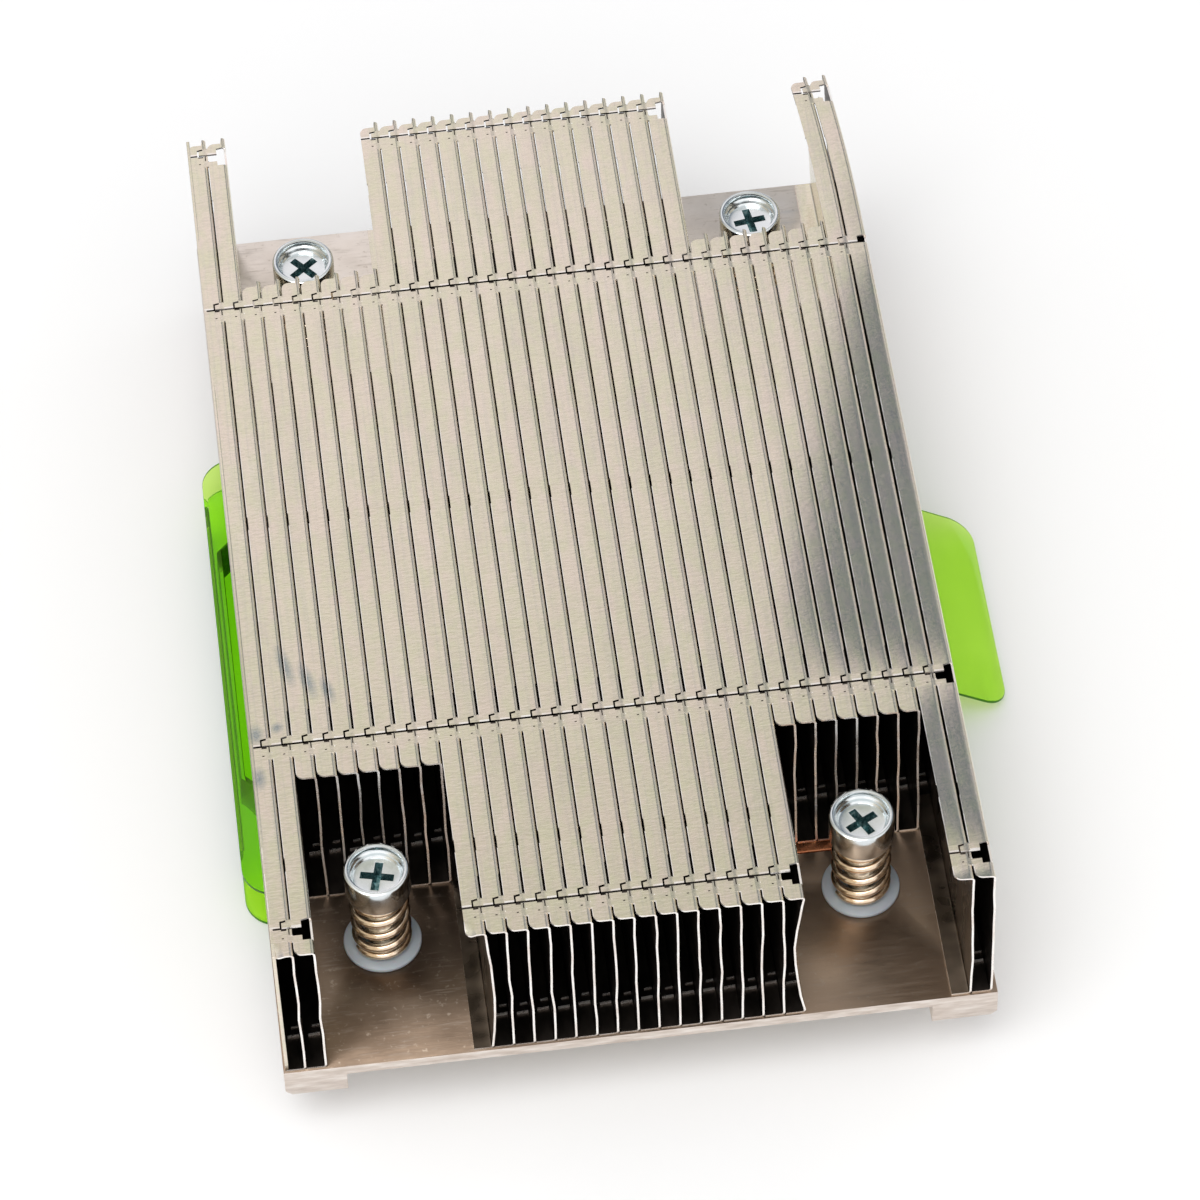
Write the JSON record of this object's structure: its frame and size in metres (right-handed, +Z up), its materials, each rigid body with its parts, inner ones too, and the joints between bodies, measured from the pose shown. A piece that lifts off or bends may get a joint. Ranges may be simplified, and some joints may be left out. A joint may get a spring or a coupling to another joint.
{
  "type": "cpu heatsink",
  "caption": "Passive low-profile processor heatsink: folded-fin stack on a base plate with captive spring screws and a green protective cover underneath.",
  "frame": {"origin": "middle of the four-screw pattern, on the plane that the protective cover rests on", "axes": "+Z up, out of the fins' tops; Y along the fins (the airflow); X across the fins, +X towards the cover's finger tab"},
  "size_m": [0.0945, 0.1278, 0.0323],
  "materials": {
    "plated_base": "satin nickel plating",
    "fin_metal": "brushed, nickel plated",
    "copper": "bare copper",
    "green_film": "translucent lime green",
    "white_plastic": "translucent white",
    "spring_wire": "gold-coloured plating",
    "ring_steel": "plain steel",
    "zinc_steel": "bright zinc"
  },
  "bodies": {
    "heatsink": {"base_plate": "plated_base", "heat_pipe": "copper", "end_plate": "fin_metal", "fin_01": "fin_metal", "fin_02": "fin_metal", "fin_03": "fin_metal", "fin_04": "fin_metal", "fin_05": "fin_metal", "fin_06": "fin_metal", "fin_07": "fin_metal", "fin_08": "fin_metal", "fin_09": "fin_metal", "fin_10": "fin_metal", "fin_11": "fin_metal", "fin_12": "fin_metal", "fin_13": "fin_metal", "fin_14": "fin_metal", "fin_15": "fin_metal", "fin_16": "fin_metal", "fin_17": "fin_metal", "fin_18": "fin_metal", "fin_19": "fin_metal", "fin_20": "fin_metal", "fin_21": "fin_metal", "fin_22": "fin_metal", "fin_23": "fin_metal", "fin_24": "fin_metal", "fin_25": "fin_metal", "fin_26": "fin_metal", "fin_27": "fin_metal", "fin_28": "fin_metal", "fin_29": "fin_metal", "fin_30": "fin_metal", "fin_31": "fin_metal", "fin_32": "fin_metal", "fin_33": "fin_metal", "fin_34": "fin_metal", "protective_cover": "green_film", "spring_washers": "white_plastic", "spring_front_left": "spring_wire", "spring_front_right": "spring_wire", "spring_rear_left": "spring_wire", "spring_rear_right": "spring_wire"},
    "screw_lift_front_left": {"retaining_ring_front_left": "ring_steel"},
    "screw_turn_front_left": {"screw_front_left": "zinc_steel"},
    "screw_lift_front_right": {"retaining_ring_front_right": "ring_steel"},
    "screw_turn_front_right": {"screw_front_right": "zinc_steel"},
    "screw_lift_rear_left": {"retaining_ring_rear_left": "ring_steel"},
    "screw_turn_rear_left": {"screw_rear_left": "zinc_steel"},
    "screw_lift_rear_right": {"retaining_ring_rear_right": "ring_steel"},
    "screw_turn_rear_right": {"screw_rear_right": "zinc_steel"}
  },
  "joints": [
    {"name": "screw_press_front_left", "type": "slide", "parent": "heatsink", "child": "screw_lift_front_left", "axis": [0, 0, -1], "range_m": [0, 0.003], "stiffness_N_per_m": 3500, "springref_m": -0.004, "deforming": ["spring_front_left"]},
    {"name": "screw_spin_front_left", "type": "hinge", "parent": "screw_lift_front_left", "child": "screw_turn_front_left", "pos_m": [-0.028, -0.047, 0.0184], "axis": [0, 0, -1], "continuous": true},
    {"name": "screw_press_front_right", "type": "slide", "parent": "heatsink", "child": "screw_lift_front_right", "axis": [0, 0, -1], "range_m": [0, 0.003], "stiffness_N_per_m": 3500, "springref_m": -0.004, "deforming": ["spring_front_right"]},
    {"name": "screw_spin_front_right", "type": "hinge", "parent": "screw_lift_front_right", "child": "screw_turn_front_right", "pos_m": [0.028, -0.047, 0.0184], "axis": [0, 0, -1], "continuous": true},
    {"name": "screw_press_rear_left", "type": "slide", "parent": "heatsink", "child": "screw_lift_rear_left", "axis": [0, 0, -1], "range_m": [0, 0.003], "stiffness_N_per_m": 3500, "springref_m": -0.004, "deforming": ["spring_rear_left"]},
    {"name": "screw_spin_rear_left", "type": "hinge", "parent": "screw_lift_rear_left", "child": "screw_turn_rear_left", "pos_m": [-0.028, 0.047, 0.0184], "axis": [0, 0, -1], "continuous": true},
    {"name": "screw_press_rear_right", "type": "slide", "parent": "heatsink", "child": "screw_lift_rear_right", "axis": [0, 0, -1], "range_m": [0, 0.003], "stiffness_N_per_m": 3500, "springref_m": -0.004, "deforming": ["spring_rear_right"]},
    {"name": "screw_spin_rear_right", "type": "hinge", "parent": "screw_lift_rear_right", "child": "screw_turn_rear_right", "pos_m": [0.028, 0.047, 0.0184], "axis": [0, 0, -1], "continuous": true}
  ]
}
